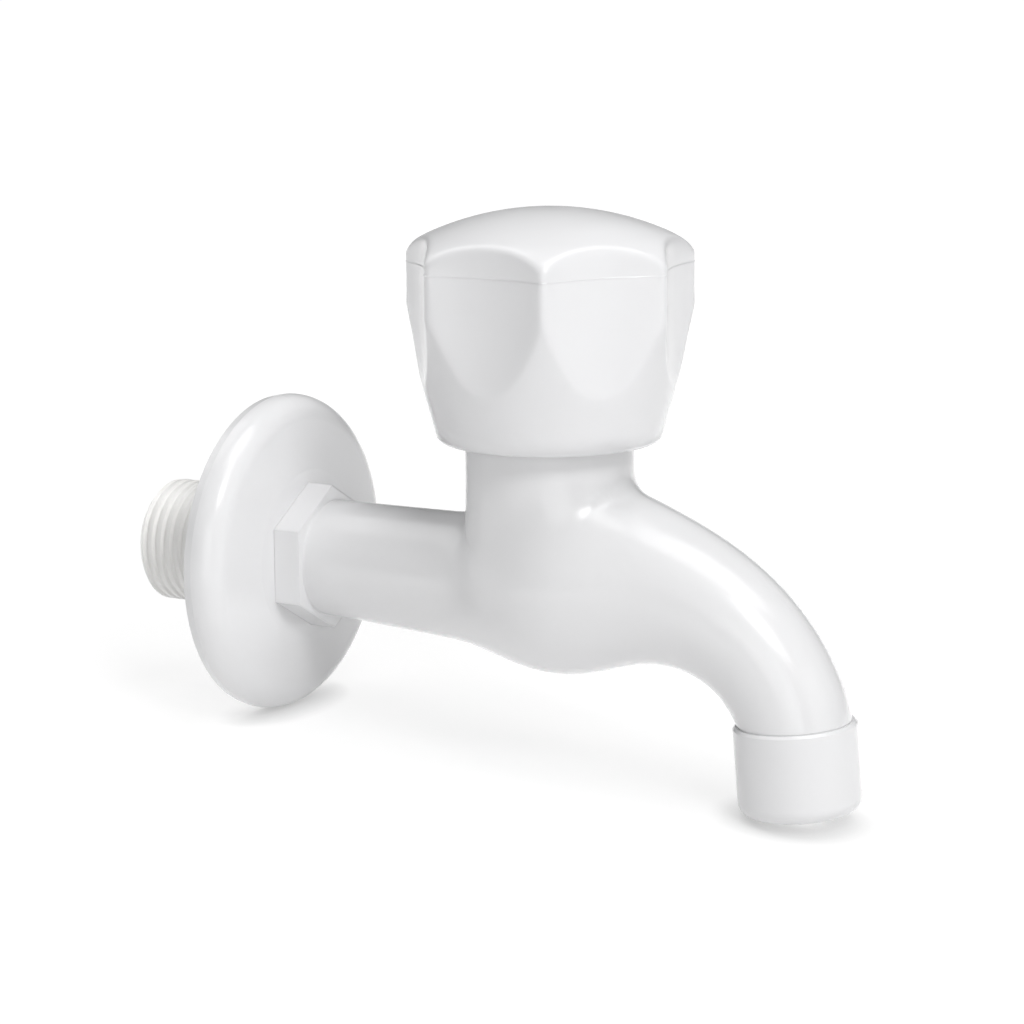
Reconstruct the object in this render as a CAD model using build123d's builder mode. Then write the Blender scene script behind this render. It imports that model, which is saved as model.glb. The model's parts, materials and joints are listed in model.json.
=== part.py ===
"""Wall-mounted sink tap: a moulded plastic body, its wall flange, the screw-down valve, a scooped knob and the outlet nozzle.

Units are millimetres. The origin is where the inlet axis meets the wall, X points out of the wall
along the inlet, Z is up. The tap is drawn closed.
"""
import os
from math import cos, radians, sin, sqrt

from build123d import *

os.makedirs("parts", exist_ok=True)

# Inlet: a G1/2 parallel pipe thread, drawn as a plain cylinder at its major diameter
THREAD_RADIUS = 20.955 / 2
THREAD_LENGTH = 21.3
THREAD_END = 0.4
SHANK_RADIUS = 9.9
INLET_BORE = 6.25

# Spanner hexagon, with a corner at the top and one at the bottom
HEX_BACK = 7.15
HEX_FRONT = 12.05
HEX_ACROSS_FLATS = 21.5

# Wall flange, a hollow rose that slips over the thread
FLANGE_RADIUS = 27.0
FLANGE_HOLE = 10.65

# Valve axis, neck and seat
VALVE_X = 53.9
NECK_RADIUS = 13.65
NECK_TOP = 27.0
NECK_BLEND = 4.0
BLEND_START = 50.5
CHAMBER_RADIUS = 10.4
CHAMBER_FLOOR = 3.2
SEAT_TOP = 4.2
POCKET_ROOF = 0.6
POCKET_LEVEL = -3.4
POCKET_RADIUS = 8.6
SEAT_HOLE = 5.5

# Outlet: top of the nozzle ring and its lean from the vertical
OUTLET_X = 97.7
OUTLET_Z = -17.9
OUTLET_LEAN = 4.9
RING_RADIUS = 9.87
RING_HEIGHT = 14.4
SPIGOT_RADIUS = 8.3
SPIGOT_LENGTH = 8.0
SPOUT_BORE = 6.4

# Knob
KNOB_BOTTOM = 24.0
KNOB_SEAM = 52.0
SEAM_CHAMFER = 0.15
KNOB_TOP = 61.2
DOME_RADIUS = 47.8
CAP_WALL = 2.0
SCOOPS = 7
SCOOP_RADIUS = 30.0
SCOOP_FLOOR = 20.0
SCOOP_LEVEL = 42.5
SCOOP_FOOT = 69.0
RIDGE_ANGLE = -63.5
RIDGE_ROUNDING = 1.2
HUB_BOTTOM = 41.4
HUB_TOP = 50.0

valve = Plane(origin=(VALVE_X, 0, 0), x_dir=(1, 0, 0), z_dir=(0, 0, 1))
valve_side = Plane(origin=(VALVE_X, 0, 0), x_dir=(1, 0, 0), z_dir=(0, -1, 0))
valve_axis = Axis((VALVE_X, 0, 0), (0, 0, 1))
lean = radians(OUTLET_LEAN)
outlet = Plane(origin=(OUTLET_X, 0, OUTLET_Z), x_dir=(0, 1, 0), z_dir=(sin(lean), 0, -cos(lean)))
UP = (Align.CENTER, Align.CENTER, Align.MIN)
pocket_rim = sqrt(POCKET_RADIUS**2 - (POCKET_ROOF - POCKET_LEVEL) ** 2)


def dome(r):
    """The point of the knob's dome at distance r from the valve axis."""
    return (r, KNOB_TOP - DOME_RADIUS + sqrt(DOME_RADIUS**2 - r**2))


def across(x, z, slope):
    """A plane across the waterway at (x, z) whose normal climbs by slope degrees."""
    a = radians(slope)
    return Plane(origin=(x, 0, z), x_dir=(0, 1, 0), z_dir=(cos(a), 0, sin(a)))


# Outer skin of the body: round sections along the run from the hexagon to the spout tip,
# each as x, z, radius and slope of the run in degrees
hexagon_end = (HEX_FRONT - 0.5, 0.0, 9.7, 0)
tube_back = (17.0, -0.12, 9.88, -1)
tube_middle = (22.5, -0.24, 10.06, -1)
tube_front = (27.5, -0.35, 10.22, -1)
tube_end = (32.0, -0.45, 10.37, -1)
tube_swell = (36.0, -0.55, 10.55, -1)
chamber_start = (40.0, -0.6, 10.9, 2)
chamber_rise = (44.2, -0.75, 12.25, 10)
chamber_side = (48.8, 0.3, 14.5, 11)
chamber_middle = (54.1, 1.4, 16.0, 7)
chamber_widest = (59.8, 2.0, 16.2, 3.5)
chamber_fall = (66.0, 2.1, 14.9, 1)
spout_root = (72.0, 1.6, 13.05, -4)
spout_top = (78.3, 0.25, 11.5, -12.5)
spout_arch = (84.2, -2.1, 10.4, -24)
spout_bend = (89.4, -5.5, 9.65, -38)
spout_turn = (93.5, -9.7, 9.2, -52)
spout_drop = (96.4, -14.4, 9.05, -67)
spout_tip = (OUTLET_X, OUTLET_Z, 9.05, OUTLET_LEAN - 90)
skin = (
    hexagon_end, tube_back, tube_middle, tube_front, tube_end, tube_swell, chamber_start,
    chamber_rise, chamber_side, chamber_middle, chamber_widest, chamber_fall, spout_root,
    spout_top, spout_arch, spout_bend, spout_turn, spout_drop, spout_tip,
)

# Neck: level round sections as height and radius. All share the wall over the tube, so that the
# neck stands upright there and flares at its sides.
bell = ((2.0, 15.9), (5.6, 15.45), (9.2, 14.65), (12.8, 14.0), (16.4, 13.72), (20.0, NECK_RADIUS))

# Waterways, in the same form: the inlet dips under the seat, the outlet leaves above it
inlet_way = ((28.0, 0.0, INLET_BORE, 0), (38.0, -1.8, 5.8, -20), (50.0, -5.6, 5.0, -10))
outlet_way = (
    (58.0, 9.0, 5.0, 0),
    (66.0, 7.0, 6.6, -22),
    (74.0, 2.2, 8.7, -24),
    (82.0, -1.3, 7.9, -24),
    (88.4, -4.8, 7.1, -36),
    (93.8, -10.2, 6.6, -54),
    (OUTLET_X, OUTLET_Z, SPOUT_BORE - 0.1, OUTLET_LEAN - 90),
)

# Outer form from the tube to the spout, with the neck standing on it. In front the neck flows into
# the chamber and the spout. Over the tube its joint stays sharp, so the form is parted for the blend.
with BuildPart() as outer_form:
    for x, z, radius, slope in skin:
        with BuildSketch(across(x, z, slope)):
            Circle(radius)
    loft()
    for height, radius in bell:
        with BuildSketch(valve.offset(height)):
            with Locations((radius - NECK_RADIUS, 0)):
                Circle(radius)
    loft()

with BuildPart() as front_form:
    add(outer_form.part)
    split(bisect_by=Plane.YZ.offset(BLEND_START), keep=Keep.TOP)
    neck_joint = [e for e in front_form.edges().filter_by(GeomType.BSPLINE) if 10 < e.center().Z < 15]
    neck_joint = [e for e in neck_joint if e.length > 25]
    fillet(neck_joint, NECK_BLEND)

with BuildPart() as tap_body:
    add(outer_form.part)
    split(bisect_by=Plane.YZ.offset(BLEND_START), keep=Keep.BOTTOM)
    add(front_form.part)
    # threaded inlet and spanner hexagon
    with BuildSketch(Plane.YZ.offset(-THREAD_LENGTH)):
        Circle(THREAD_RADIUS)
    extrude(amount=THREAD_LENGTH + THREAD_END)
    chamfer(tap_body.edges().filter_by(GeomType.CIRCLE).sort_by(Axis.X)[0], 0.9)
    with BuildSketch(Plane.YZ):
        Circle(SHANK_RADIUS)
    extrude(amount=HEX_BACK + 1.0)
    with BuildSketch(Plane.YZ.offset(HEX_BACK)):
        RegularPolygon(HEX_ACROSS_FLATS / 2, 6, major_radius=False, rotation=90)
    extrude(amount=HEX_FRONT - HEX_BACK)
    # top of the neck, which carries the headwork
    with BuildSketch(valve.offset(20.0)):
        Circle(NECK_RADIUS)
    extrude(amount=NECK_TOP - 20.0)
    # spigot that the nozzle ring screws onto
    with BuildSketch(outlet.offset(-1.0)):
        Circle(SPIGOT_RADIUS)
    extrude(amount=SPIGOT_LENGTH + 1.0)
    # inlet waterway, then the pocket under the seat
    with BuildSketch(Plane.YZ.offset(-THREAD_LENGTH)):
        Circle(INLET_BORE)
    extrude(amount=THREAD_LENGTH + 28.0, mode=Mode.SUBTRACT)
    for x, z, radius, slope in inlet_way:
        with BuildSketch(across(x, z, slope)):
            Circle(radius)
    loft(mode=Mode.SUBTRACT)
    with BuildSketch(valve_side):
        with BuildLine():
            Line((0, POCKET_LEVEL - POCKET_RADIUS), (0, POCKET_ROOF))
            Line((0, POCKET_ROOF), (pocket_rim, POCKET_ROOF))
            ThreePointArc((pocket_rim, POCKET_ROOF), (POCKET_RADIUS, POCKET_LEVEL), (0, POCKET_LEVEL - POCKET_RADIUS))
        make_face()
    revolve(axis=valve_axis, mode=Mode.SUBTRACT)
    # upper chamber with its raised seat
    with BuildSketch(valve.offset(CHAMBER_FLOOR)):
        Circle(CHAMBER_RADIUS)
    extrude(amount=NECK_TOP - CHAMBER_FLOOR, mode=Mode.SUBTRACT)
    with BuildSketch(valve.offset(CHAMBER_FLOOR - 0.5)):
        Circle(SEAT_HOLE + 1.6)
    extrude(amount=SEAT_TOP - CHAMBER_FLOOR + 0.5)
    with BuildSketch(valve.offset(-1.0)):
        Circle(SEAT_HOLE)
    extrude(amount=SEAT_TOP + 1.0, mode=Mode.SUBTRACT)
    # outlet waterway down the spout and through the spigot
    for x, z, radius, slope in outlet_way:
        with BuildSketch(across(x, z, slope)):
            Circle(radius)
    loft(mode=Mode.SUBTRACT)
    with BuildSketch(outlet.offset(-0.2)):
        Circle(SPOUT_BORE)
    extrude(amount=SPIGOT_LENGTH + 0.2, mode=Mode.SUBTRACT)

with BuildPart() as wall_flange:
    with BuildSketch(Plane.XZ):
        with BuildLine():
            Line((0, 26.7), (1.5, FLANGE_RADIUS))
            TangentArc((1.5, FLANGE_RADIUS), (6.1, 22.94), tangent=(1, 0))
            Line((6.1, 22.94), (HEX_BACK, 14.5))
            Line((HEX_BACK, 14.5), (HEX_BACK, FLANGE_HOLE))
            Line((HEX_BACK, FLANGE_HOLE), (2.2, FLANGE_HOLE))
            Line((2.2, FLANGE_HOLE), (2.2, 12.9))
            Line((2.2, 12.9), (5.0, 13.4))
            Line((5.0, 13.4), (4.1, 22.7))
            Line((4.1, 22.7), (3.3, 24.2))
            Line((3.3, 24.2), (1.5, 25.0))
            Line((1.5, 25.0), (0, 25.0))
            Line((0, 25.0), (0, 26.7))
        make_face()
    revolve(axis=Axis.X)

# Headwork: the bonnet screws into the neck and holds the turning spindle
with BuildPart(valve) as bonnet:
    with Locations((0, 0, 14.6)):
        Cylinder(CHAMBER_RADIUS - 0.05, 12.8, align=UP)
    with Locations((0, 0, 27.4)):
        Cylinder(12.6, 1.4, align=UP)
    with BuildSketch(valve.offset(28.8)):
        RegularPolygon(11.0, 6, major_radius=False)
    extrude(amount=4.7)
    with Locations((0, 0, 33.5)):
        Cylinder(7.4, 6.5, align=UP)
    chamfer(bonnet.edges().filter_by(GeomType.CIRCLE).sort_by(Axis.Z)[-1], 0.5)
    with BuildSketch(valve.offset(14.6)):
        RegularPolygon(6.65, 6, major_radius=False)
    extrude(amount=17.2, mode=Mode.SUBTRACT)
    with Locations((0, 0, 31.0)):
        Cylinder(4.0, 10.0, align=UP, mode=Mode.SUBTRACT)

with BuildPart(valve) as bonnet_gasket:
    with Locations((0, 0, NECK_TOP)):
        Cylinder(12.6, 0.4, align=UP)
        Cylinder(CHAMBER_RADIUS + 0.1, 0.4, align=UP, mode=Mode.SUBTRACT)

with BuildPart(valve) as spindle:
    with Locations((0, 0, 17.8)):
        Cylinder(4.9, 11.6, align=UP)
    chamfer(spindle.edges().filter_by(GeomType.CIRCLE).sort_by(Axis.Z)[0], 0.6)
    with Locations((0, 0, 29.3)):
        Cylinder(6.0, 2.0, align=UP)
    with Locations((0, 0, 31.3)):
        Cylinder(3.95, 10.1, align=UP)
    with BuildSketch(valve.offset(41.4)):
        Rectangle(5.4, 5.4)
    extrude(amount=8.4)
    # two grooves for the O-rings and one for the clip
    for bottom, height, core in ((34.0, 1.6, 2.95), (37.0, 1.6, 2.95), (40.1, 0.9, 3.2)):
        with Locations((0, 0, bottom)):
            Cylinder(4.5, height, align=UP, mode=Mode.SUBTRACT)
            Cylinder(core, height, align=UP)
    # tapped hole for the knob screw
    with Locations((0, 0, 40.5)):
        Cylinder(1.95, 10.0, align=UP, mode=Mode.SUBTRACT)

with BuildPart(valve) as spindle_o_rings:
    for bottom in (34.1, 37.1):
        with BuildSketch(valve_side):
            with Locations((3.465, bottom + 0.7)):
                RegularPolygon(0.5, 8, major_radius=False, rotation=22.5)
        revolve(axis=valve_axis)

with BuildPart(valve) as spindle_washer:
    with Locations((0, 0, 31.3)):
        Cylinder(6.3, 0.5, align=UP)
        Cylinder(4.1, 0.5, align=UP, mode=Mode.SUBTRACT)

with BuildPart(valve) as spindle_clip:
    with Locations((0, 0, 40.15)):
        Cylinder(5.8, 0.75, align=UP)
        Cylinder(3.22, 0.75, align=UP, mode=Mode.SUBTRACT)
    with Locations((5, 0, 40.15)):
        Box(10, 4.4, 0.75, align=UP, mode=Mode.SUBTRACT)

# Jumper: slides in the hexagon of the bonnet and is lifted by the spindle thread
with BuildPart(valve) as valve_plunger:
    with Locations((0, 0, 7.25)):
        Cylinder(8.2, 1.9, align=UP)
    with BuildSketch(valve.offset(9.1)):
        RegularPolygon(6.58, 6, major_radius=False)
    extrude(amount=14.9)
    with Locations((0, 0, 12.4)):
        Cylinder(4.95, 12.0, align=UP, mode=Mode.SUBTRACT)
    with Locations((0, 0, 7.0)):
        Cylinder(1.95, 4.6, align=UP, mode=Mode.SUBTRACT)

with BuildPart(valve) as seat_washer:
    with Locations((0, 0, SEAT_TOP + 0.03)):
        Cylinder(7.8, 3.02, align=UP)
        Cylinder(2.1, 3.02, align=UP, mode=Mode.SUBTRACT)

with BuildPart(valve) as seat_screw_washer:
    with Locations((0, 0, SEAT_TOP - 0.57)):
        Cylinder(4.2, 0.6, align=UP)
        Cylinder(2.1, 0.6, align=UP, mode=Mode.SUBTRACT)

with BuildPart(valve) as seat_screw:
    with Locations((0, 0, SEAT_TOP - 2.57)):
        Cylinder(3.3, 2.0, align=UP)
    chamfer(seat_screw.edges().filter_by(GeomType.CIRCLE).sort_by(Axis.Z)[0], 0.6)
    with Locations((0, 0, SEAT_TOP - 0.57)):
        Cylinder(1.9, 7.6, align=UP)
    with Locations((0, 0, SEAT_TOP - 2.57)):
        Box(7.0, 0.9, 0.9, align=UP, mode=Mode.SUBTRACT)


# Knob: a conical grip with seven scoops, closed by a domed cap that hides the fixing screw.
# Each scoop is the bite of this large round post, whose foot narrows a little.
with BuildPart() as scoop_post:
    with BuildSketch(Plane.XZ):
        with BuildLine():
            foot_angle = radians(14)
            foot_in = SCOOP_FOOT * (1 - cos(foot_angle))
            foot_down = SCOOP_FOOT * sin(foot_angle)
            Line((0, 70.0), (SCOOP_RADIUS, 70.0))
            Line((SCOOP_RADIUS, 70.0), (SCOOP_RADIUS, SCOOP_LEVEL))
            RadiusArc((SCOOP_RADIUS, SCOOP_LEVEL), (SCOOP_RADIUS - foot_in, SCOOP_LEVEL - foot_down), SCOOP_FOOT)
            Line((SCOOP_RADIUS - foot_in, SCOOP_LEVEL - foot_down), (0, SCOOP_LEVEL - foot_down))
            Line((0, SCOOP_LEVEL - foot_down), (0, 70.0))
        make_face()
    revolve(axis=Axis.Z)

# The outer form is made once and parted at the seam
with BuildPart() as knob_form:
    with BuildSketch(valve_side):
        with BuildLine():
            Line((0, KNOB_BOTTOM), (17.7, KNOB_BOTTOM))
            Line((17.7, KNOB_BOTTOM), (18.2, KNOB_BOTTOM + 0.5))
            Line((18.2, KNOB_BOTTOM + 0.5), (22.1, 39.0))
            Spline(
                (22.1, 39.0), (23.9, 45.0), (24.6, 49.0), (24.45, 52.2), (23.0, 54.7), dome(18.6),
                tangents=[(0.27, 1), (-1, 0.42)],
            )
            ThreePointArc(dome(18.6), dome(10.0), (0, KNOB_TOP))
            Line((0, KNOB_TOP), (0, KNOB_BOTTOM))
        make_face()
    revolve(axis=valve_axis)
    with Locations((VALVE_X, 0, 0)):
        with PolarLocations(SCOOP_RADIUS + SCOOP_FLOOR, SCOOPS, start_angle=RIDGE_ANGLE + 180 / SCOOPS):
            add(scoop_post.part, mode=Mode.SUBTRACT)
    scoop_edges = [e for e in knob_form.edges() if e.distance_to(Vertex(VALVE_X, 0, e.center().Z)) > 15.0]
    scoop_edges = [e for e in scoop_edges if 30.2 < e.center().Z < 59.0 and e.geom_type != GeomType.CIRCLE]
    fillet(scoop_edges, RIDGE_ROUNDING)

with BuildPart() as knob_grip:
    add(knob_form.part)
    split(bisect_by=Plane.XY.offset(KNOB_SEAM), keep=Keep.BOTTOM)
    chamfer(knob_grip.faces().sort_by(Axis.Z)[-1].edges(), SEAM_CHAMFER)
    # recess for the cap, then the hollow underneath
    with Locations((VALVE_X, 0, HUB_TOP)):
        Cylinder(18.7, 3.0, align=UP, mode=Mode.SUBTRACT)
    with BuildSketch(valve_side):
        with BuildLine():
            Line((0, KNOB_BOTTOM), (16.4, KNOB_BOTTOM))
            Line((16.4, KNOB_BOTTOM), (18.0, 33.0))
            Line((18.0, 33.0), (18.2, 47.6))
            Line((18.2, 47.6), (0, 47.6))
            Line((0, 47.6), (0, KNOB_BOTTOM))
        make_face()
    revolve(axis=valve_axis, mode=Mode.SUBTRACT)
    # hub and its ribs
    with BuildSketch(valve.offset(HUB_BOTTOM)):
        Circle(8.6)
    extrude(amount=47.8 - HUB_BOTTOM)
    with BuildSketch(valve.offset(44.0)):
        with PolarLocations(13.4, 6):
            Rectangle(10.2, 1.6)
    extrude(amount=3.8)
    with BuildSketch(valve.offset(HUB_BOTTOM)):
        Circle(5.6)
    extrude(amount=HUB_TOP - HUB_BOTTOM, mode=Mode.SUBTRACT)

with BuildPart(valve) as knob_bush:
    with Locations((0, 0, HUB_BOTTOM)):
        Cylinder(5.6, HUB_TOP - HUB_BOTTOM, align=UP)
    with BuildSketch(valve.offset(HUB_BOTTOM)):
        Rectangle(5.46, 5.46)
    extrude(amount=HUB_TOP - HUB_BOTTOM, mode=Mode.SUBTRACT)

with BuildPart() as knob_cap:
    add(knob_form.part)
    split(bisect_by=Plane.XY.offset(KNOB_SEAM), keep=Keep.TOP)
    chamfer(knob_cap.faces().sort_by(Axis.Z)[0].edges(), SEAM_CHAMFER)
    # lip that snaps into the grip, then the hollow under the dome
    with Locations((VALVE_X, 0, HUB_TOP + 0.3)):
        Cylinder(18.6, KNOB_SEAM - HUB_TOP + 1.0, align=UP)
    with BuildSketch(valve_side):
        with BuildLine():
            Line((0, HUB_TOP), (17.3, HUB_TOP))
            Line((17.3, HUB_TOP), (17.3, dome(17.3)[1] - CAP_WALL))
            Line((17.3, dome(17.3)[1] - CAP_WALL), (7.0, KNOB_TOP - CAP_WALL))
            Line((7.0, KNOB_TOP - CAP_WALL), (0, KNOB_TOP - CAP_WALL))
            Line((0, KNOB_TOP - CAP_WALL), (0, HUB_TOP))
        make_face()
    revolve(axis=valve_axis, mode=Mode.SUBTRACT)

with BuildPart(valve) as knob_screw_washer:
    with Locations((0, 0, HUB_TOP)):
        Cylinder(5.0, 0.8, align=UP)
        Cylinder(2.1, 0.8, align=UP, mode=Mode.SUBTRACT)

with BuildPart(valve) as knob_screw:
    with Locations((0, 0, 42.0)):
        Cylinder(1.9, 8.8, align=UP)
    with Locations((0, 0, HUB_TOP + 0.8)):
        Cylinder(3.5, 2.2, align=UP)
    chamfer(knob_screw.edges().filter_by(GeomType.CIRCLE).sort_by(Axis.Z)[-1], 0.6)
    with Locations((0, 0, HUB_TOP + 2.0)):
        Box(4.6, 0.9, 1.2, align=UP, mode=Mode.SUBTRACT)
        Box(0.9, 4.6, 1.2, align=UP, mode=Mode.SUBTRACT)

# Nozzle: a screwed ring that clamps the flow insert against the spigot
with BuildPart(outlet) as outlet_ring:
    Cylinder(RING_RADIUS, RING_HEIGHT, align=UP)
    chamfer(outlet_ring.edges().filter_by(GeomType.CIRCLE).sort_by(Axis.Z)[-1], 0.4)
    fillet(outlet_ring.edges().filter_by(GeomType.CIRCLE).sort_by(Axis.Z)[0], 2.2)
    Cylinder(SPIGOT_RADIUS + 0.06, 12.9, align=UP, mode=Mode.SUBTRACT)
    Cylinder(6.6, RING_HEIGHT, align=UP, mode=Mode.SUBTRACT)

with BuildPart(outlet) as outlet_washer:
    with Locations((0, 0, SPIGOT_LENGTH)):
        Cylinder(SPIGOT_RADIUS, 1.2, align=UP)
        Cylinder(SPOUT_BORE, 1.2, align=UP, mode=Mode.SUBTRACT)

with BuildPart(outlet) as insert_housing:
    with Locations((0, 0, 9.2)):
        Cylinder(8.25, 3.7, align=UP)
        Cylinder(6.9, 2.9, align=UP, mode=Mode.SUBTRACT)
        Cylinder(6.0, 3.7, align=UP, mode=Mode.SUBTRACT)

with BuildPart(outlet) as flow_straightener:
    with Locations((0, 0, 9.3)):
        Cylinder(6.85, 1.7, align=UP)
        Cylinder(0.8, 1.7, align=UP, mode=Mode.SUBTRACT)
        with PolarLocations(2.6, 6):
            Cylinder(0.8, 1.7, align=UP, mode=Mode.SUBTRACT)
        with PolarLocations(5.1, 12):
            Cylinder(0.8, 1.7, align=UP, mode=Mode.SUBTRACT)

with BuildPart(outlet) as flow_screens:
    with Locations((0, 0, 11.1), (0, 0, 11.6)):
        Cylinder(6.85, 0.3, align=UP)
        with GridLocations(1.6, 1.6, 6, 6):
            Box(1.1, 1.1, 0.3, align=UP, mode=Mode.SUBTRACT)

tap_body.part.label = "tap_body"
export_step(tap_body.part, "parts/tap_body.step")
wall_flange.part.label = "wall_flange"
export_step(wall_flange.part, "parts/wall_flange.step")
bonnet.part.label = "bonnet"
export_step(bonnet.part, "parts/bonnet.step")
bonnet_gasket.part.label = "bonnet_gasket"
export_step(bonnet_gasket.part, "parts/bonnet_gasket.step")
spindle.part.label = "spindle"
export_step(spindle.part, "parts/spindle.step")
spindle_o_rings.part.label = "spindle_o_rings"
export_step(spindle_o_rings.part, "parts/spindle_o_rings.step")
spindle_washer.part.label = "spindle_washer"
export_step(spindle_washer.part, "parts/spindle_washer.step")
spindle_clip.part.label = "spindle_clip"
export_step(spindle_clip.part, "parts/spindle_clip.step")
valve_plunger.part.label = "valve_plunger"
export_step(valve_plunger.part, "parts/valve_plunger.step")
seat_washer.part.label = "seat_washer"
export_step(seat_washer.part, "parts/seat_washer.step")
seat_screw_washer.part.label = "seat_screw_washer"
export_step(seat_screw_washer.part, "parts/seat_screw_washer.step")
seat_screw.part.label = "seat_screw"
export_step(seat_screw.part, "parts/seat_screw.step")
knob_grip.part.label = "knob_grip"
export_step(knob_grip.part, "parts/knob_grip.step")
knob_bush.part.label = "knob_bush"
export_step(knob_bush.part, "parts/knob_bush.step")
knob_cap.part.label = "knob_cap"
export_step(knob_cap.part, "parts/knob_cap.step")
knob_screw_washer.part.label = "knob_screw_washer"
export_step(knob_screw_washer.part, "parts/knob_screw_washer.step")
knob_screw.part.label = "knob_screw"
export_step(knob_screw.part, "parts/knob_screw.step")
outlet_ring.part.label = "outlet_ring"
export_step(outlet_ring.part, "parts/outlet_ring.step")
outlet_washer.part.label = "outlet_washer"
export_step(outlet_washer.part, "parts/outlet_washer.step")
insert_housing.part.label = "insert_housing"
export_step(insert_housing.part, "parts/insert_housing.step")
flow_straightener.part.label = "flow_straightener"
export_step(flow_straightener.part, "parts/flow_straightener.step")
flow_screens.part.label = "flow_screens"
export_step(flow_screens.part, "parts/flow_screens.step")
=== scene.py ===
# %% [markdown]
# # Wall-mounted sink tap
# A white moulded plastic tap, photographed standing on a white table. The solids come from the CAD
# model and are never moved here. This notebook gives them their finishes, cuts the pipe thread that
# the solids leave plain, softens the body's neck and the knob's seam, and sets up the camera, the
# table and the light.

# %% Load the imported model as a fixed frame
import json
from math import atan, cos, degrees, pi, radians, sin

import bpy
from mathutils import Matrix, Vector

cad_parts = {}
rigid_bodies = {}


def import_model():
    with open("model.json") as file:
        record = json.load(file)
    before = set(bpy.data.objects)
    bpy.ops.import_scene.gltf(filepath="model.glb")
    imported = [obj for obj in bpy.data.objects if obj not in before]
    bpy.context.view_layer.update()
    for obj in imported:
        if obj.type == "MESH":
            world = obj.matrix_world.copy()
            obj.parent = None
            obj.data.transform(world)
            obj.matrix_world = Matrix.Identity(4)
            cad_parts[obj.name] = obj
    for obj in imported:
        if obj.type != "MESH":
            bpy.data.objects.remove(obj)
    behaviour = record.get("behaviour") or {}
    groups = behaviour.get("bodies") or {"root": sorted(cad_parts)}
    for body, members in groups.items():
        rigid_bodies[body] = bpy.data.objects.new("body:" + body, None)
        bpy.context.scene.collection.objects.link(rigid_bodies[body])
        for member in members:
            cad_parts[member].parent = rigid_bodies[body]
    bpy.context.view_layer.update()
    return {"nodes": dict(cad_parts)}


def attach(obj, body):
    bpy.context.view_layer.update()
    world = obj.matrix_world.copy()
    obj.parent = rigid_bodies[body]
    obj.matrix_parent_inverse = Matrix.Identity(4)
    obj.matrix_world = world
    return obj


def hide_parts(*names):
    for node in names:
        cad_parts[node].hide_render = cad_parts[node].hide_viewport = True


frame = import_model()
bpy.ops.object.select_all(action="DESELECT")
print("CAD nodes:", sorted(frame["nodes"]))

# %% [markdown]
# ## Finishes
# Every finish is a small node material. One helper makes the Principled shader with its fixed
# numbers, and others add noise to its colour, roughness and relief. The patterns read Object
# coordinates in metres, so a scale of 100 gives a pattern of about a centimetre, and no piece has
# to be unwrapped.

# %% A helper that starts a finish
def new_finish(name, colour, roughness, metallic=0.0, ior=1.5):
    """A new material and its Principled shader."""
    material = bpy.data.materials.new(name)
    material.use_nodes = True
    shader = material.node_tree.nodes["Principled BSDF"]
    shader.inputs["Base Color"].default_value = (*colour, 1)
    shader.inputs["Roughness"].default_value = roughness
    shader.inputs["Metallic"].default_value = metallic
    shader.inputs["IOR"].default_value = ior
    return material, shader


# %% Noise that other helpers build on
NOISE_LOW = 0.3
NOISE_HIGH = 0.7


def noise_map(material, scale, detail, low, high):
    """A noise in Object coordinates, remapped to run from low to high."""
    nodes = material.node_tree.nodes
    links = material.node_tree.links
    place = nodes.new("ShaderNodeTexCoord")
    noise = nodes.new("ShaderNodeTexNoise")
    noise.inputs["Scale"].default_value = scale
    noise.inputs["Detail"].default_value = detail
    span = nodes.new("ShaderNodeMapRange")
    span.inputs["From Min"].default_value = NOISE_LOW
    span.inputs["From Max"].default_value = NOISE_HIGH
    span.inputs["To Min"].default_value = low
    span.inputs["To Max"].default_value = high
    links.new(place.outputs["Object"], noise.inputs["Vector"])
    links.new(noise.outputs["Fac"], span.inputs["Value"])
    return noise, span


# %% Helpers that let a noise vary colour and relief
DARK_UP_TO = 0.35
LIGHT_FROM = 0.65


def two_tones(material, shader, noise, dark, light):
    """The base colour drifts between two tones with a noise."""
    ramp = material.node_tree.nodes.new("ShaderNodeValToRGB")
    ramp.color_ramp.elements[0].position = DARK_UP_TO
    ramp.color_ramp.elements[0].color = (*dark, 1)
    ramp.color_ramp.elements[1].position = LIGHT_FROM
    ramp.color_ramp.elements[1].color = (*light, 1)
    material.node_tree.links.new(noise.outputs["Fac"], ramp.inputs["Fac"])
    material.node_tree.links.new(ramp.outputs["Color"], shader.inputs["Base Color"])


def bumps(material, shader, noise, depth):
    """A relief of the given depth from a noise."""
    bump = material.node_tree.nodes.new("ShaderNodeBump")
    bump.inputs["Strength"].default_value = 1.0
    bump.inputs["Distance"].default_value = depth
    material.node_tree.links.new(noise.outputs["Fac"], bump.inputs["Height"])
    material.node_tree.links.new(bump.outputs["Normal"], shader.inputs["Normal"])
    return bump


# %% [markdown]
# ## Softer edges
# Moulded plastic has no crisp edge. A Bevel modifier would need clean edges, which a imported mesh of
# triangles doesn't have. The Bevel node only rounds how an edge is shaded and leaves the mesh alone.
# On the knob's seam it would draw a dark band, so its radius shrinks to nothing there.

# %% A helper that softens edges in the shading
SEAM = 0.052
RADIUS_PER_HEIGHT = 0.9
BEVEL_SAMPLES = 12


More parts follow.
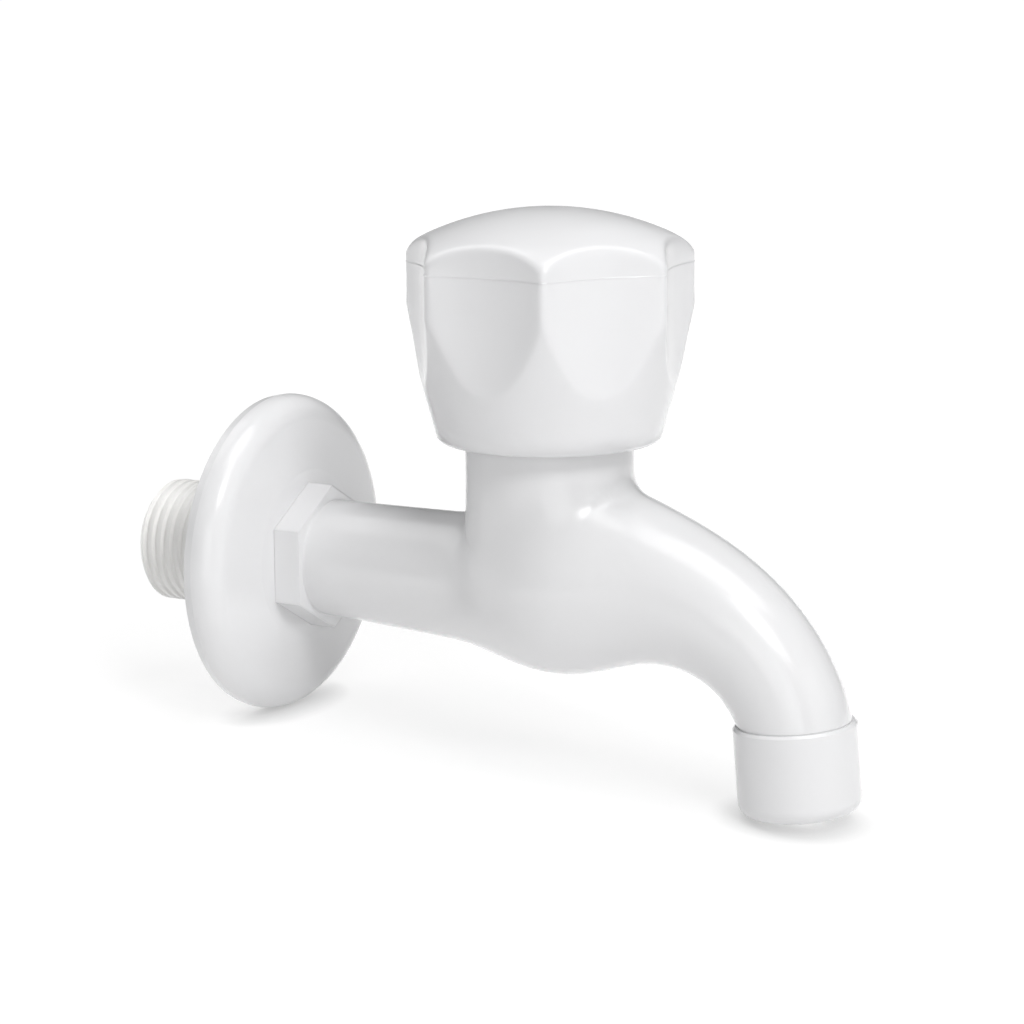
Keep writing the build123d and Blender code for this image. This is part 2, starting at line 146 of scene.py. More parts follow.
def soften_edges(material, bump, radius):
    """Rounds the shading of edges, less and less towards the level of the knob's seam."""
    nodes = material.node_tree.nodes
    links = material.node_tree.links
    place = nodes.new("ShaderNodeTexCoord")
    height = nodes.new("ShaderNodeSeparateXYZ")
    links.new(place.outputs["Object"], height.inputs["Vector"])
    steps = (("SUBTRACT", SEAM), ("ABSOLUTE", 0), ("MULTIPLY", RADIUS_PER_HEIGHT), ("MINIMUM", radius))
    value = height.outputs["Z"]
    for operation, number in steps:
        step = nodes.new("ShaderNodeMath")
        step.operation = operation
        step.inputs[1].default_value = number
        links.new(value, step.inputs[0])
        value = step.outputs[0]
    rounding = nodes.new("ShaderNodeBevel")
    rounding.samples = BEVEL_SAMPLES
    links.new(value, rounding.inputs["Radius"])
    links.new(rounding.outputs["Normal"], bump.inputs["Normal"])


# %% [markdown]
# ## The white plastics
# Body, flange and nozzle ring are moulded in one glossy white, the knob in a slightly cooler one. The pipe
# thread is moulded with the body, but it gets a warmer, duller and lighter white: the warmer tone and the
# dullness are its own, and the lighter tone is painted light that makes up for the shade that the flange and
# the grooves cast on it. One flat colour would do, but a moulding is never quite even, so faint noise varies
# its tone, its polish and its skin. The denoiser sorts surfaces below and above a roughness of about 0.27
# into two kinds and draws an edge between them, so the noise keeps each finish on one side of it.

# %% The white plastics: body, knob and thread
BODY_TONES = ((0.841, 0.841, 0.85), (0.847, 0.847, 0.855))
KNOB_TONES = ((0.838, 0.838, 0.849), (0.844, 0.844, 0.854))
# The thread's tones are painted lighter than the body's to make up for the shade of the flange and the
# grooves.
THREAD_TONES_PAINTED_LIGHTER = ((0.885, 0.88, 0.862), (0.9, 0.895, 0.88))
BODY_ROUGHNESS = 0.22
KNOB_ROUGHNESS = 0.235
THREAD_ROUGHNESS = 0.31
BODY_EDGE = 0.0006
KNOB_EDGE = 0.0016
TONE_SCALE = 35
POLISH_SCALE = 160
SMOOTHER = 0.02
DULLER = 0.03
SKIN_SCALE = 900
SKIN_DEPTH = 0.000003


def white_plastic(name, tones, roughness, soft_edges=0.0):
    """A glossy moulded white, its edges softened where a radius is given."""
    dark, light = tones
    material, shader = new_finish(name, light, roughness, ior=1.49)
    tone, _ = noise_map(material, TONE_SCALE, 3, 0, 1)
    two_tones(material, shader, tone, dark, light)
    _, polish = noise_map(material, POLISH_SCALE, 4, roughness - SMOOTHER, roughness + DULLER)
    material.node_tree.links.new(polish.outputs["Result"], shader.inputs["Roughness"])
    skin, _ = noise_map(material, SKIN_SCALE, 2, 0, 1)
    bump = bumps(material, shader, skin, SKIN_DEPTH)
    if soft_edges > 0:
        soften_edges(material, bump, soft_edges)
    return material


body_white = white_plastic("body_white", BODY_TONES, BODY_ROUGHNESS, soft_edges=BODY_EDGE)
turned_white = white_plastic("turned_white", BODY_TONES, BODY_ROUGHNESS)
knob_white = white_plastic("knob_white", KNOB_TONES, KNOB_ROUGHNESS, soft_edges=KNOB_EDGE)
rim_white = white_plastic("rim_white", KNOB_TONES, KNOB_ROUGHNESS)
thread_white_painted_lighter = white_plastic("thread_white_painted_lighter", THREAD_TONES_PAINTED_LIGHTER, THREAD_ROUGHNESS)
print("white plastics ready")

# %% [markdown]
# ## The hidden materials
# Inside the tap are plain acetal, brass, stainless steel and rubber. None of it shows in the
# photograph, so one helper with a fine grain does for all four. Each node gets the finish of its
# own material. The pieces made further down take theirs when they are made.

# %% The hidden materials: acetal, brass, stainless steel and rubber
GRAIN_SCALE = 200
GRAIN_DEPTH = 0.000004
WORN_LESS = 0.06
WORN_MORE = 0.08


def plain_finish(name, dark, light, roughness, metallic=0.0):
    """A finish with a fine grain, the same grain for all of them."""
    material, shader = new_finish(name, light, roughness, metallic)
    tone, _ = noise_map(material, GRAIN_SCALE, 4, 0, 1)
    two_tones(material, shader, tone, dark, light)
    _, polish = noise_map(material, GRAIN_SCALE * 2, 4, roughness - WORN_LESS, roughness + WORN_MORE)
    material.node_tree.links.new(polish.outputs["Result"], shader.inputs["Roughness"])
    grain, _ = noise_map(material, GRAIN_SCALE * 6, 3, 0, 1)
    bumps(material, shader, grain, GRAIN_DEPTH)
    return material


acetal = plain_finish("acetal", (0.62, 0.63, 0.65), (0.7, 0.71, 0.73), 0.45)
brass = plain_finish("turned_brass", (0.58, 0.4, 0.16), (0.74, 0.56, 0.27), 0.35, metallic=1.0)
steel = plain_finish("stainless", (0.5, 0.5, 0.51), (0.62, 0.62, 0.64), 0.35, metallic=1.0)
rubber = plain_finish("black_rubber", (0.02, 0.02, 0.02), (0.035, 0.035, 0.037), 0.6)

# %% A finish for every node
finishes = {
    body_white: ("tap_body",),
    turned_white: ("wall_flange", "outlet_ring"),
    knob_white: ("knob_grip", "knob_cap"),
    acetal: ("bonnet", "spindle_washer", "valve_plunger", "insert_housing", "flow_straightener"),
    brass: ("spindle", "seat_screw_washer", "seat_screw", "knob_bush"),
    steel: ("spindle_clip", "knob_screw_washer", "knob_screw", "flow_screens"),
    rubber: ("bonnet_gasket", "spindle_o_rings", "seat_washer", "outlet_washer"),
}
for material, names in finishes.items():
    for name in names:
        node = frame["nodes"][name]
        node.data.materials.clear()
        node.data.materials.append(material)
print("finished", sum(len(names) for names in finishes.values()), "nodes")

# %% [markdown]
# ## The pipe thread
# The inlet screws into the wall. Its thread is moulded with the body: one groove that winds round
# the pipe about twelve times, 1.814 mm apart, between broad flat crests. A bump pattern would leave
# the pipe's outline smooth, so the groove is really cut. A short profile is wound into a long worm
# with the Screw modifier, and a Boolean takes the worm out of a sleeve that stands for the pipe's
# outside. The sleeve starts as a plain cylinder whose free end gets a chamfer.

# %% Helpers that pick a piece and cut one with another
def work_on(piece):
    """Makes one piece the only selected and active object."""
    bpy.ops.object.select_all(action="DESELECT")
    piece.select_set(True)
    bpy.context.view_layer.objects.active = piece


def subtract(piece, cutter):
    """Cuts one piece with another, which is used up."""
    work_on(piece)
    cut = piece.modifiers.new("cut", "BOOLEAN")
    cut.operation = "DIFFERENCE"
    cut.solver = "EXACT"
    cut.object = cutter
    bpy.ops.object.modifier_apply(modifier="cut")
    bpy.data.objects.remove(cutter)


# %% A helper that makes a pipe
def pipe_along_x(name, radius, start, end, sides):
    """A closed cylinder along X, its place kept in its mesh."""
    bpy.ops.object.select_all(action="DESELECT")
    bpy.ops.mesh.primitive_cylinder_add(
        vertices=sides,
        radius=radius,
        depth=end - start,
        location=((start + end) / 2, 0, 0),
        rotation=(0, pi / 2, 0),
    )
    pipe = bpy.context.object
    pipe.name = name
    bpy.ops.object.transform_apply(location=True, rotation=True, scale=True)
    return pipe


# %% The sleeve: the outside of the pipe with its chamfered start
PIPE_START = -0.0213
PIPE_STEP = 0.0004
CREST = 0.0104775
HAIR = 0.00002
CHAMFER = 0.0009
SLEEVE_SIDES = 144

inlet_thread = pipe_along_x("inlet_thread", CREST, PIPE_START + HAIR, PIPE_STEP, SLEEVE_SIDES)
bpy.ops.object.mode_set(mode="EDIT")
bpy.ops.mesh.select_all(action="DESELECT")
bpy.ops.object.mode_set(mode="OBJECT")
for edge in inlet_thread.data.edges:
    edge.select = all(inlet_thread.data.vertices[i].co.x < PIPE_START + 2 * HAIR for i in edge.vertices)
bpy.ops.object.mode_set(mode="EDIT")
bpy.ops.mesh.bevel(offset=CHAMFER, segments=1, affect="EDGES")
bpy.ops.object.mode_set(mode="OBJECT")
print("sleeve:", len(inlet_thread.data.polygons), "faces")

# %% [markdown]
# ## The groove
# The groove's profile starts as a square, upright on the pipe's axis. Its floor is narrowed and its
# two floor corners are rounded. Above, it flares in three steps, so the groove's lips are soft, and
# the last step stands clear of the crest. Only the outline is kept, because the Screw modifier
# winds an outline into a skin, whose two ends are then closed.

# %% Pick points by their place
def select_points(piece, wanted):
    """Selects the points of a mesh that a test picks, and goes to edit mode."""
    work_on(piece)
    bpy.ops.object.mode_set(mode="EDIT")
    bpy.ops.mesh.select_mode(type="VERT")
    bpy.ops.mesh.select_all(action="DESELECT")
    bpy.ops.object.mode_set(mode="OBJECT")
    for point in piece.data.vertices:
        point.select = wanted(point.co)
    bpy.ops.object.mode_set(mode="EDIT")


# %% The profile of the groove
PITCH = 0.001814
GROOVE_DEPTH = 0.00045
GROOVE_WIDTH = 0.00078
FLOOR_SHARE = 0.45
FLOOR_CORNER = 0.00016
FLARE_DEPTH = 0.00016
FLARES = ((0.0001, 1.16), (0.00006, 1.22), (0.00005, 1.3))
LEAD_IN = 1.3 * PITCH

bpy.ops.mesh.primitive_plane_add(size=1, location=(0, 0, 0))
worm = bpy.context.object
worm.name = "groove_worm"
bpy.ops.object.mode_set(mode="EDIT")
bpy.ops.mesh.select_all(action="SELECT")
bpy.ops.transform.rotate(value=radians(90), orient_axis="X", center_override=(0, 0, 0))
bpy.ops.transform.translate(value=(0, 0, 0.5))
bpy.ops.transform.resize(value=(GROOVE_WIDTH, 1, GROOVE_DEPTH - FLARE_DEPTH), center_override=(0, 0, 0))
bpy.ops.object.mode_set(mode="OBJECT")
select_points(worm, lambda p: p.z < HAIR)
bpy.ops.transform.resize(value=(FLOOR_SHARE, 1, 1), center_override=(0, 0, 0))
bpy.ops.mesh.bevel(offset=FLOOR_CORNER, segments=2, affect="VERTICES")
bpy.ops.object.mode_set(mode="OBJECT")
top = max(point.co.z for point in worm.data.vertices)
select_points(worm, lambda p: p.z > top - HAIR / 2)
for rise, widening in FLARES:
    bpy.ops.mesh.extrude_region_move(TRANSFORM_OT_translate={"value": (0, 0, rise)})
    bpy.ops.transform.resize(value=(widening, 1, 1), center_override=(0, 0, 0))
bpy.ops.mesh.select_all(action="SELECT")
bpy.ops.transform.translate(value=(PIPE_START - LEAD_IN, 0, CREST - GROOVE_DEPTH))
bpy.ops.mesh.dissolve_faces()
bpy.ops.mesh.select_all(action="SELECT")
bpy.ops.mesh.delete(type="ONLY_FACE")
bpy.ops.object.mode_set(mode="OBJECT")
print("groove profile:", len(worm.data.vertices), "points")

# %% The worm: the profile wound along the pipe, its ends closed
TURNS = 13
STEPS_PER_TURN = 96
SAME_PLACE = 0.000001

winding = worm.modifiers.new("winding", "SCREW")
winding.axis = "X"
winding.angle = 2 * pi
winding.screw_offset = PITCH
winding.iterations = TURNS
winding.steps = STEPS_PER_TURN
winding.render_steps = STEPS_PER_TURN
bpy.ops.object.modifier_apply(modifier="winding")
bpy.ops.object.mode_set(mode="EDIT")
bpy.ops.mesh.select_all(action="SELECT")
bpy.ops.mesh.remove_doubles(threshold=SAME_PLACE)
bpy.ops.mesh.select_all(action="SELECT")
bpy.ops.mesh.fill_holes(sides=0)
bpy.ops.mesh.select_all(action="SELECT")
bpy.ops.mesh.normals_make_consistent(inside=False)
bpy.ops.object.mode_set(mode="OBJECT")
low = min(point.co.x for point in worm.data.vertices)
high = max(point.co.x for point in worm.data.vertices)
print("worm from", round(low * 1000, 2), "to", round(high * 1000, 2), "mm,", len(worm.data.polygons), "faces")

# %% The cuts: first the groove, then the core that the body's own pipe fills
CORE_RADIUS = 0.008
CORE_SIDES = 72
OVERSHOOT = 0.001
THREAD_SMOOTHING = radians(32)

subtract(inlet_thread, worm)
core = pipe_along_x("core", CORE_RADIUS, PIPE_START - OVERSHOOT, PIPE_STEP + OVERSHOOT, CORE_SIDES)
subtract(inlet_thread, core)
work_on(inlet_thread)
bpy.ops.object.shade_smooth_by_angle(angle=THREAD_SMOOTHING)
inlet_thread.data.materials.clear()
inlet_thread.data.materials.append(thread_white_painted_lighter)
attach(inlet_thread, "tap")
print("threaded sleeve:", len(inlet_thread.data.polygons), "faces")

# %% [markdown]
# ## The body
# The body is one moulding: pipe, hexagon, tube, chamber, neck and spout. It keeps the packed
# solid's shape and shading, so it starts as a copy of it and not as a new model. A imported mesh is
# loose triangles: its doubles are merged before anything is changed. The outside of its plain pipe
# is taken off, because the threaded sleeve stands there.

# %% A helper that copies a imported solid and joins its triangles
DOUBLES = 0.000002


def joined_copy(node_name, piece_name):
    """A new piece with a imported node's mesh, its doubled points merged."""
    solid = frame["nodes"][node_name]
    piece = bpy.data.objects.new(piece_name, solid.data.copy())
    bpy.context.scene.collection.objects.link(piece)
    work_on(piece)
    bpy.ops.object.mode_set(mode="EDIT")
    bpy.ops.mesh.select_all(action="SELECT")
    bpy.ops.mesh.remove_doubles(threshold=DOUBLES)
    bpy.ops.mesh.select_all(action="DESELECT")
    bpy.ops.object.mode_set(mode="OBJECT")
    return piece


# %% Pick faces by a test
def select_faces(piece, wanted):
    """Selects the faces of a mesh that a test picks, and goes to edit mode."""
    work_on(piece)
    bpy.ops.object.mode_set(mode="EDIT")
    bpy.ops.mesh.select_mode(type="FACE")
    bpy.ops.mesh.select_all(action="DESELECT")
    bpy.ops.object.mode_set(mode="OBJECT")
    for face in piece.data.polygons:
        face.select = wanted(face)
    bpy.ops.object.mode_set(mode="EDIT")


# %% The body without the plain outside of its pipe
PIPE_WALL = 0.0085


def outside_of_pipe(face):
    """True for the faces of the plain pipe's outside, where the sleeve stands."""
    x, y, z = face.center
    return PIPE_START + HAIR < x < PIPE_STEP + HAIR and (y * y + z * z) ** 0.5 > PIPE_WALL


moulded_body = joined_copy("tap_body", "moulded_body")
select_faces(moulded_body, outside_of_pipe)
bpy.ops.mesh.delete(type="FACE")
bpy.ops.object.mode_set(mode="OBJECT")
print("body without its plain pipe:", len(moulded_body.data.polygons), "faces")

# %% [markdown]
# ## Where the neck runs into the chamber
# On the moulding no edge shows between the upright neck and the round chamber: the light runs over
# it in one soft patch. The solid has a 4 mm fillet there, which still draws a line, and a larger
# one could not be made. So the skin around it is divided finely, and a Smooth modifier relaxes it.
# A vertex group says how much: most along the joint, nothing at the neck's top, over the tube and
# straight in front. The joint is low behind the neck and high in front, so its height is worked out
# from the turn about the spindle, which runs from -1 straight behind it to 1 straight in front.

# %% How far a point belongs to the soft transition
SPINDLE_X = 0.0539
NECK_CYLINDER_START = 0.0196
SOFT_INSIDE = 0.0128
SOFT_OUTSIDE = 0.030
SOFT_FLOOR = -0.002
SOFT_BELOW_JOINT = 0.011
JOINT_HEIGHT = 0.009
JOINT_RISE = 0.0075
FRONT_FADE_END = 0.97
FRONT_FADE = 0.27
SHARP_BEHIND = -0.5
BACK_FADE = 0.3


def from_spindle(p):
    """Distance of a point from the upright axis of the valve."""
    return ((p.x - SPINDLE_X) ** 2 + p.y ** 2) ** 0.5


def zero_to_one(value):
    return min(1, max(0, value))


def blend_weight(p):
    """1 on the joint between neck and chamber, 0 where the skin stays as it is."""
    reach = from_spindle(p)
    if not SOFT_INSIDE < reach < SOFT_OUTSIDE or not SOFT_FLOOR < p.z < NECK_CYLINDER_START:
        return 0.0
    turn = (p.x - SPINDLE_X) / reach
    joint = JOINT_HEIGHT + JOINT_RISE * turn
    span = NECK_CYLINDER_START - joint if p.z > joint else SOFT_BELOW_JOINT
    away = abs(p.z - joint) / span
    if away >= 1:
        return 0.0
    front = zero_to_one((FRONT_FADE_END - turn) / FRONT_FADE)
    back = zero_to_one((turn - SHARP_BEHIND) / BACK_FADE)
    return (1 - away * away) ** 2 * front * front * (3 - 2 * front) * back


beside_neck = Vector((SPINDLE_X, -0.0145, JOINT_HEIGHT))
print("weight on the joint at the side:", round(blend_weight(beside_neck), 2))


# %% Which faces are relaxed
def on_outer_skin(face):
    """True for faces that look away from the body's middle, so not for the waterway's."""
    foot = Vector((SPINDLE_X, 0, min(face.center.z, 0)))
    return (face.center - foot).dot(face.normal) > 0


def on_soft_skin(face):
    """True where the skin is relaxed, up to the sharp joint behind the neck."""
    corners = [moulded_body.data.vertices[i].co for i in face.vertices]
    if any(p.x - SPINDLE_X < SHARP_BEHIND * from_spindle(p) for p in corners):
        return False
    return on_outer_skin(face) and any(blend_weight(p) > 0 for p in corners)


# %% Divide and relax the skin there
RELAX_FACTOR = 0.5
RELAX_ROUNDS = 1500

select_faces(moulded_body, on_soft_skin)
bpy.ops.mesh.subdivide(number_cuts=2, smoothness=1.0)
bpy.ops.mesh.normals_tools(mode="RESET")
bpy.ops.object.mode_set(mode="OBJECT")
skin = {i for face in moulded_body.data.polygons if on_outer_skin(face) for i in face.vertices}
soft = moulded_body.vertex_groups.new(name="soft_transition")
for i in skin:
    weight = blend_weight(moulded_body.data.vertices[i].co)
    if weight > 0:
        soft.add([i], weight, "REPLACE")
relax = moulded_body.modifiers.new("relax", "SMOOTH")
relax.vertex_group = "soft_transition"
relax.factor = RELAX_FACTOR
relax.iterations = RELAX_ROUNDS
bpy.ops.object.modifier_apply(modifier="relax")
moulded_body.vertex_groups.clear()
print("relaxed body:", len(moulded_body.data.polygons), "faces")

# %% [markdown]
# ## The sharp joint behind the neck
# Over the tube, neck and tube meet in a sharp inner edge. The merged mesh would shade across it and
# show teeth. So the edges that bend there are marked sharp, and the faces along them go back to the
# shading that follows their own shape.

# %% Mark the joint's edges and renew the shading along them
SHARP_BEND = radians(15)
JOINT_OUTSIDE = 0.0165
JOINT_LOW = 0.0065
JOINT_HIGH = 0.0115


def along_sharp_joint(p):
    """True for a place in the narrow band where neck and tube meet."""
    reach = from_spindle(p)
    behind = p.x - SPINDLE_X < SHARP_BEHIND * reach
    return behind and SOFT_INSIDE < reach < JOINT_OUTSIDE and JOINT_LOW < p.z < JOINT_HIGH


skin_mesh = moulded_body.data
faces_along = {}
for face in skin_mesh.polygons:
    for key in face.edge_keys:
        faces_along.setdefault(key, []).append(face.normal.copy())
joint_points = set()
for edge in skin_mesh.edges:
    start, end = (skin_mesh.vertices[i].co for i in edge.vertices)
    sides = faces_along[edge.key]
    if along_sharp_joint((start + end) / 2) and len(sides) == 2 and sides[0].angle(sides[1]) > SHARP_BEND:
        edge.use_edge_sharp = True
        joint_points.update(edge.vertices)
select_faces(moulded_body, lambda face: any(i in joint_points for i in face.vertices))
bpy.ops.mesh.normals_tools(mode="RESET")
bpy.ops.object.mode_set(mode="OBJECT")
print("sharp joint behind the neck:", len(joint_points), "points")

# %% The body's finish and its place in the model
moulded_body.data.materials.clear()
moulded_body.data.materials.append(body_white)
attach(moulded_body, "tap")
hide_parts("tap_body")
print("moulded body:", len(moulded_body.data.polygons), "faces")

# %% [markdown]
# ## The seam of the knob
# Grip and cap meet in a level seam. In the photograph it is a fine bright line, not a dark gap: the
# cap's lower rim stands a hair proud and catches the light from above. The solids have a small
# chamfer on both sides. Here the grip's chamfer is closed, and the cap's is turned out to a lip. The
# points of the rims are moved for it, so no separate ring has to be fitted. The narrow strip beside
# the seam has a white of its own, without the softened edges.

# %% A helper that moves the rim beside the seam
SEAM_CHAMFER = 0.00015
LIP = 0.00009
RIM_REACH = 0.0218
RIM_INSIDE = 0.0192
ON_SEAM = 0.000005
OFF_SEAM = 0.00003


def at_rim(p, nearest, farthest):
    """True for a place on the outer rim at such a height over or under the seam."""
    return nearest < abs(p.z - SEAM) < farthest and from_spindle(p) > RIM_INSIDE


def push_rim(piece, distance):
    """Moves the outer rim at the seam outwards and gives its narrow strip plain flat shading."""
    select_points(piece, lambda p: at_rim(p, -1, ON_SEAM))
    factor = 1 + distance / RIM_REACH
    bpy.ops.transform.resize(value=(factor, factor, 1), center_override=(SPINDLE_X, 0, SEAM))
    bpy.ops.object.mode_set(mode="OBJECT")
    select_faces(piece, lambda face: at_rim(face.center, OFF_SEAM, SEAM_CHAMFER))
    bpy.ops.mesh.normals_tools(mode="RESET")
    bpy.ops.mesh.faces_shade_flat()
    bpy.ops.object.mode_set(mode="OBJECT")
    piece.data.materials.clear()
    piece.data.materials.append(knob_white)
    piece.data.materials.append(rim_white)
    for face in piece.data.polygons:
        face.material_index = 1 if face.select else 0
    print(piece.name, "strip faces:", sum(face.select for face in piece.data.polygons))


# %% Both halves of the knob
for solid_name, piece_name, distance in (
    ("knob_grip", "moulded_grip", SEAM_CHAMFER),
    ("knob_cap", "moulded_cap", SEAM_CHAMFER + LIP),
):
    piece = joined_copy(solid_name, piece_name)
    push_rim(piece, distance)
    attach(piece, "handle")
    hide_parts(solid_name)

# %% [markdown]
# ## Camera
# The angle, the distance and the focal length were fitted to the outlines in the photograph. The
# camera looks from the front and right, a little from above, and is rolled by less than half a
# degree. Its three axes are worked out here and put into one matrix.

# %% The camera
CAMERA_AZIMUTH = radians(29.53)
CAMERA_ELEVATION = radians(11.60)
CAMERA_ROLL = radians(-0.40)
CAMERA_DISTANCE = 0.500
CAMERA_TARGET = Vector((0.04685, 0, 0.01105))
FOCAL_PIXELS = 3060.5
PHOTO_PIXELS = 1024
SENSOR_WIDTH = 36

right = Vector((cos(CAMERA_AZIMUTH), sin(CAMERA_AZIMUTH), 0))
back = Vector((
    sin(CAMERA_AZIMUTH) * cos(CAMERA_ELEVATION),
    -cos(CAMERA_AZIMUTH) * cos(CAMERA_ELEVATION),
    sin(CAMERA_ELEVATION),
))
up = back.cross(right)
rolled_right = right * cos(CAMERA_ROLL) + up * sin(CAMERA_ROLL)
rolled_up = back.cross(rolled_right)
turned = Matrix((rolled_right, rolled_up, back)).transposed().to_4x4()
camera_data = bpy.data.cameras.new("camera")
camera_data.sensor_width = SENSOR_WIDTH
camera_data.lens = FOCAL_PIXELS / PHOTO_PIXELS * SENSOR_WIDTH
camera_data.clip_start = 0.01
camera = bpy.data.objects.new("camera", camera_data)
bpy.context.scene.collection.objects.link(camera)
camera.matrix_world = Matrix.Translation(CAMERA_TARGET + back * CAMERA_DISTANCE) @ turned
bpy.context.scene.camera = camera
print("lens", round(camera_data.lens, 1), "mm, elevation", round(degrees(CAMERA_ELEVATION), 1))

# %% [markdown]
# ## Table
# The tap stands on a white table, on the rim of its flange and on the nozzle ring. In the tap's own
# frame the table therefore slopes a little. A plane of several metres is enough, turned by that
# slope, because its far edge is lost in the white behind it.

# %% The table
TABLE_SLOPE = -0.069
TABLE_LEVEL = -0.0269
TABLE_SIZE = 6.0
TABLE_X = 0.05

table_z = TABLE_LEVEL + TABLE_SLOPE * TABLE_X
bpy.ops.mesh.primitive_plane_add(size=TABLE_SIZE, location=(TABLE_X, 0, table_z))
table = bpy.context.object
table.name = "table"
table.rotation_euler = (0, -atan(TABLE_SLOPE), 0)
white_table = bpy.data.materials.new("white_table")
white_table.use_nodes = True
table.data.materials.append(white_table)
print("table slopes", round(degrees(atan(TABLE_SLOPE)), 2), "degrees along X")

# %% [markdown]
# ## The table's white
# In the photograph the table is almost burnt out, and only a faint shadow shows on it. So it is made of paint
# and glow. The camera sees little paint, which carries the shadow, and much glow, which fills up to white.
# The glow is weaker near the tap and full far behind it. An Ambient Occlusion node darkens the glow close to
# what touches the table: that is a painted shadow beside the flange's rim and the nozzle ring. The glow is
# there for the camera, for reflections and for what is seen through glass, so it lights nothing. Light that
# bounces off the table meets ordinary white paint.

# %% The paint
PAINT = 0.8
PAINT_SEEN = 0.24

nodes = white_table.node_tree.nodes
links = white_table.node_tree.links
nodes.clear()
rays = nodes.new("ShaderNodeLightPath")
paint = nodes.new("ShaderNodeMapRange")
paint.inputs["To Min"].default_value = PAINT
paint.inputs["To Max"].default_value = PAINT_SEEN
surface = nodes.new("ShaderNodeBsdfDiffuse")
links.new(rays.outputs["Is Camera Ray"], paint.inputs["Value"])
links.new(paint.outputs["Result"], surface.inputs["Color"])
print("paint for the camera", PAINT_SEEN, "and for bounced light", PAINT)

# %% The glow, by distance from the tap and kind of ray
GLOW_NEAR = 0.82
NEAR = 0.15
FAR = 1.0

place = nodes.new("ShaderNodeTexCoord")
distance_away = nodes.new("ShaderNodeVectorMath")
distance_away.operation = "LENGTH"
fade = nodes.new("ShaderNodeMapRange")
fade.inputs["From Min"].default_value = NEAR
fade.inputs["From Max"].default_value = FAR
fade.inputs["To Min"].default_value = GLOW_NEAR
fade.inputs["To Max"].default_value = 1.0
seen = nodes.new("ShaderNodeMath")
seen.operation = "MAXIMUM"
seen_through = nodes.new("ShaderNodeMath")
seen_through.operation = "MAXIMUM"
level = nodes.new("ShaderNodeMath")
level.operation = "MULTIPLY"
glow = nodes.new("ShaderNodeEmission")
links.new(place.outputs["Object"], distance_away.inputs[0])
links.new(distance_away.outputs["Value"], fade.inputs["Value"])
links.new(fade.outputs["Result"], level.inputs[1])
links.new(rays.outputs["Is Camera Ray"], seen.inputs[0])
links.new(rays.outputs["Is Glossy Ray"], seen.inputs[1])
links.new(seen.outputs[0], seen_through.inputs[0])
links.new(rays.outputs["Is Transmission Ray"], seen_through.inputs[1])
links.new(seen_through.outputs[0], level.inputs[0])
links.new(level.outputs[0], glow.inputs["Strength"])
print("glow near the tap", GLOW_NEAR, "and 1.0 far away")

# %% The painted shadow where the tap touches the table, and paint and glow put together
PAINTED_SHADOW_REACH = 0.005
PAINTED_SHADOW_DARKEST = 0.5

# The Ambient Occlusion node darkens the glow where the tap touches the table, down to half: a painted shadow.
painted_shadow_ao = nodes.new("ShaderNodeAmbientOcclusion")
painted_shadow_ao.inputs["Distance"].default_value = PAINTED_SHADOW_REACH
shade = nodes.new("ShaderNodeMapRange")
shade.inputs["To Min"].default_value = PAINTED_SHADOW_DARKEST
both = nodes.new("ShaderNodeAddShader")
output = nodes.new("ShaderNodeOutputMaterial")
links.new(painted_shadow_ao.outputs["AO"], shade.inputs["Value"])
links.new(shade.outputs["Result"], glow.inputs["Color"])
links.new(surface.outputs[0], both.inputs[0])
links.new(glow.outputs[0], both.inputs[1])
links.new(both.outputs[0], output.inputs["Surface"])
print("table material:", len(nodes), "nodes")

# %% [markdown]
# ## Light
# The photograph has one clear window of light, in front and above to the right: it draws the
# streaks on the flange's rim, the spout and the knob's scoops. A broad overhead light, two soft
# lights behind on the left, one behind on the right and two fills, in front and on the right, make
# the greys. Each strength was matched to the greys of the photograph. The world is white where the
# camera sees it and a dim room for everything else.

# %% The world
ROOM_STRENGTH = 0.08

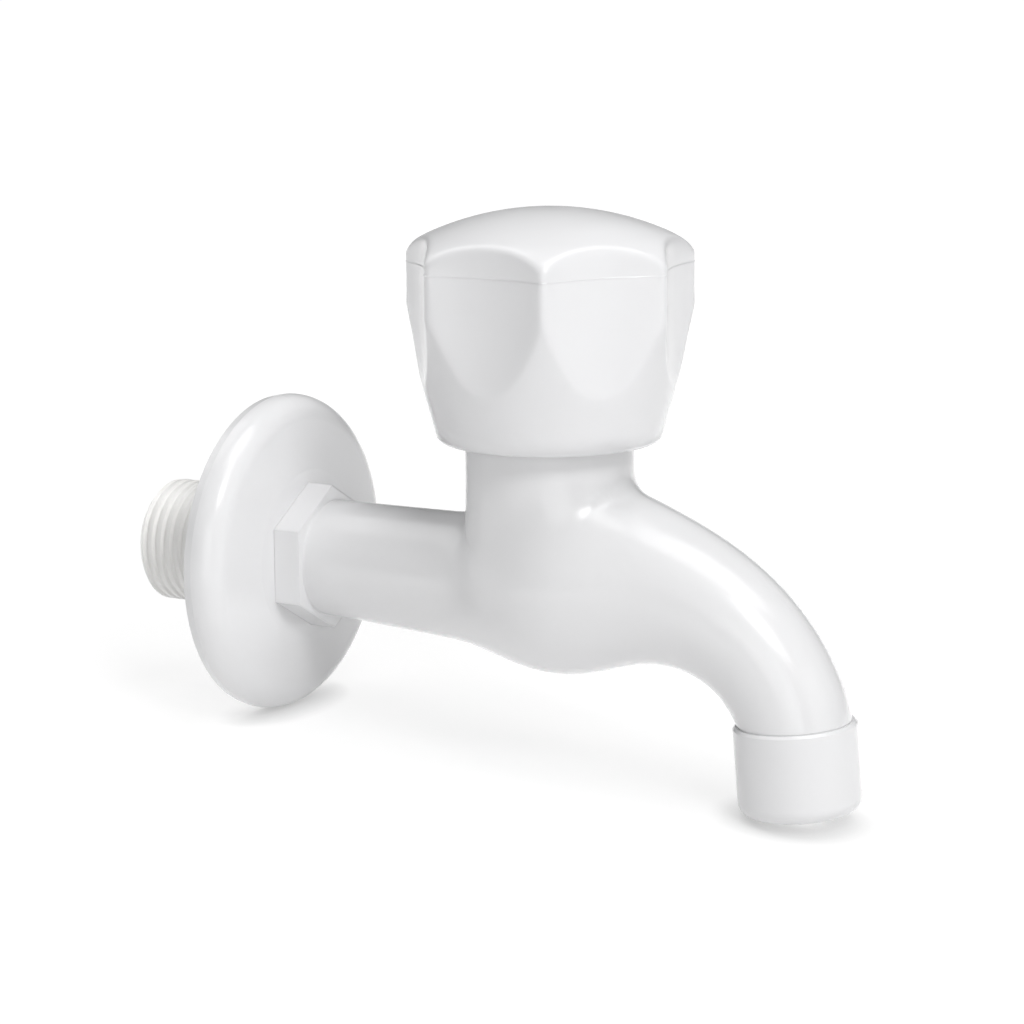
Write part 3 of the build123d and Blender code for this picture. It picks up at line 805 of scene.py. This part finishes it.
world = bpy.data.worlds.new("studio")
bpy.context.scene.world = world
world.use_nodes = True
nodes = world.node_tree.nodes
links = world.node_tree.links
nodes.clear()
room = nodes.new("ShaderNodeBackground")
room.inputs["Color"].default_value = (1, 1, 1, 1)
room.inputs["Strength"].default_value = ROOM_STRENGTH
white = nodes.new("ShaderNodeBackground")
white.inputs["Color"].default_value = (1, 1, 1, 1)
white.inputs["Strength"].default_value = 1.0
rays = nodes.new("ShaderNodeLightPath")
choose = nodes.new("ShaderNodeMixShader")
output = nodes.new("ShaderNodeOutputWorld")
links.new(rays.outputs["Is Camera Ray"], choose.inputs["Fac"])
links.new(room.outputs[0], choose.inputs[1])
links.new(white.outputs[0], choose.inputs[2])
links.new(choose.outputs[0], output.inputs["Surface"])
print("room strength:", ROOM_STRENGTH)

# %% A helper that hangs a square lamp and points it at the tap
LAMP_DISTANCE = 0.8
LAMP_AIM = Vector((0.05, 0, 0.01))


def soft_lamp(name, turn, height, size, watts):
    """A lamp placed by its turn to the camera's right and its height, both in degrees."""
    data = bpy.data.lights.new(name, "AREA")
    data.shape = "SQUARE"
    data.size = size
    data.energy = watts
    lamp = bpy.data.objects.new(name, data)
    bpy.context.scene.collection.objects.link(lamp)
    bearing = CAMERA_AZIMUTH + radians(turn)
    way = Vector((
        sin(bearing) * cos(radians(height)),
        -cos(bearing) * cos(radians(height)),
        sin(radians(height)),
    ))
    lamp.location = LAMP_AIM + way * LAMP_DISTANCE
    lamp.rotation_mode = "QUATERNION"
    lamp.rotation_quaternion = (-way).to_track_quat("-Z", "Y")


# %% The lamps: name, turn, height, size in metres, watts
LAMPS = (
    ("window", 25, 40, 0.23, 2.1),
    ("overhead", 53, 69, 0.5, 2.95),
    ("behind_left", -120, 25, 0.5, 1.05),
    ("high_left", -120, 60, 0.5, 1.35),
    ("front_fill", 0, 5, 0.5, 1.55),
    ("right_fill", 55, 10, 0.5, 0.55),
    ("behind_right", 150, 35, 0.5, 0.3),
)
for name, turn, height, size, watts in LAMPS:
    soft_lamp(name, turn, height, size, watts)
bpy.context.scene.view_settings.view_transform = "Standard"
print("lamps:", [name for name, *_ in LAMPS])
